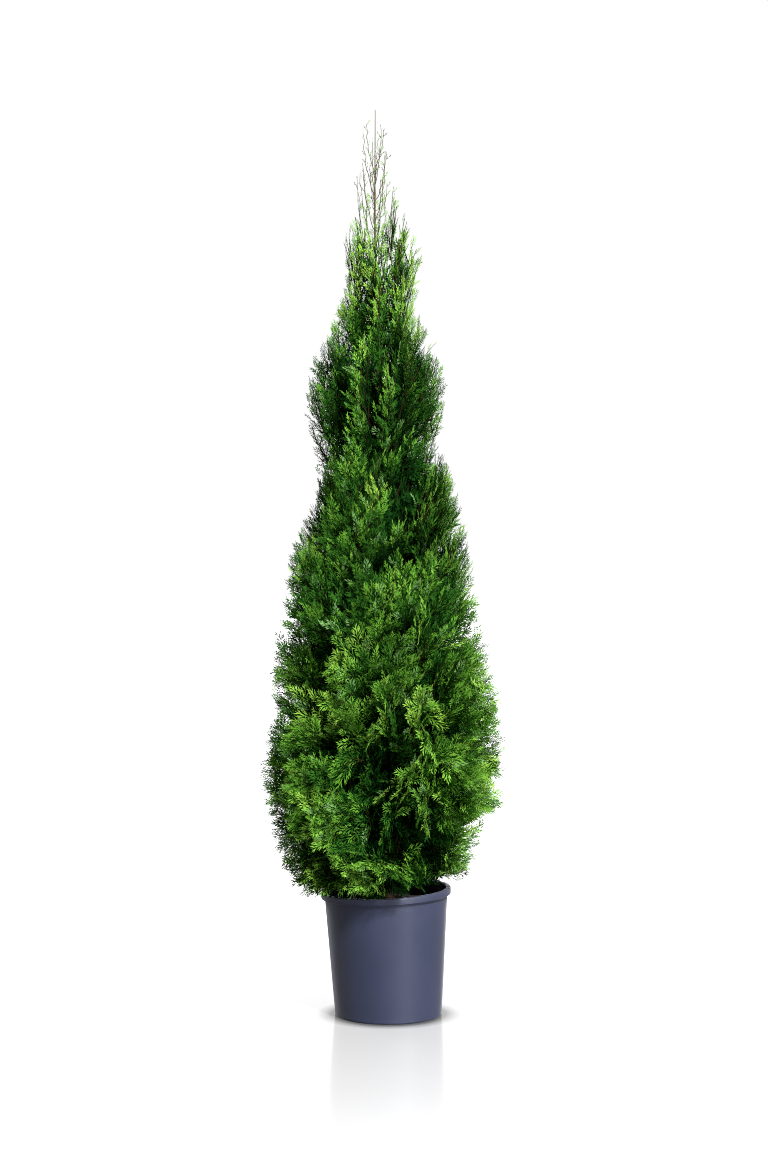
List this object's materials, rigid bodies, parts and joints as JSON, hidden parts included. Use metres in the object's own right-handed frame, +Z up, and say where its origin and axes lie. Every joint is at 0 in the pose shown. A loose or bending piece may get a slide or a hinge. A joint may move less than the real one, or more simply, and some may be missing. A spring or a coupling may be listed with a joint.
{
  "type": "potted thuja",
  "caption": "Columnar thuja shrub with upright sprays of scale leaves, narrowing to a thin leader, in a round tapered nursery pot with a rolled rim.",
  "frame": {"origin": "centre of the pot's flat underside", "axes": "+Z up the trunk, -Y towards the front, +X towards the side where the pot's rim is higher"},
  "size_m": [0.5248, 0.5167, 2.022],
  "materials": {
    "pot_plastic": "matt slate-blue moulded plastic with a faint sheen",
    "soil": "damp dark potting compost",
    "bark": "stringy red-brown bark",
    "foliage": "matt green scale-leaf sprays"
  },
  "bodies": {
    "root": {"bough_base_1": "bark", "bough_base_2": "bark", "bough_base_3": "bark", "bough_base_4": "bark", "bough_base_5": "bark", "bough_belly_1": "bark", "bough_belly_2": "bark", "bough_belly_3": "bark", "bough_belly_4": "bark", "bough_belly_5": "bark", "bough_chest_1": "bark", "bough_chest_2": "bark", "bough_chest_3": "bark", "bough_chest_4": "bark", "bough_shoulder_1": "bark", "bough_shoulder_2": "bark", "bough_shoulder_3": "bark", "bough_skirt_1": "bark", "bough_skirt_2": "bark", "bough_skirt_3": "bark", "bough_skirt_4": "bark", "bough_skirt_5": "bark", "bough_waist_1": "bark", "bough_waist_2": "bark", "bough_waist_3": "bark", "bough_waist_4": "bark", "foliage_base_1": "foliage", "foliage_base_2": "foliage", "foliage_base_3": "foliage", "foliage_base_4": "foliage", "foliage_base_5": "foliage", "foliage_belly_1": "foliage", "foliage_belly_2": "foliage", "foliage_belly_3": "foliage", "foliage_belly_4": "foliage", "foliage_belly_5": "foliage", "foliage_chest_1": "foliage", "foliage_chest_2": "foliage", "foliage_chest_3": "foliage", "foliage_chest_4": "foliage", "foliage_leader_1": "foliage", "foliage_plume_1": "foliage", "foliage_plume_2": "foliage", "foliage_shoulder_1": "foliage", "foliage_shoulder_2": "foliage", "foliage_shoulder_3": "foliage", "foliage_skirt_1": "foliage", "foliage_skirt_2": "foliage", "foliage_skirt_3": "foliage", "foliage_skirt_4": "foliage", "foliage_skirt_5": "foliage", "foliage_waist_1": "foliage", "foliage_waist_2": "foliage", "foliage_waist_3": "foliage", "foliage_waist_4": "foliage", "pot": "pot_plastic", "soil": "soil", "trunk": "bark"}
  },
  "joints": []
}
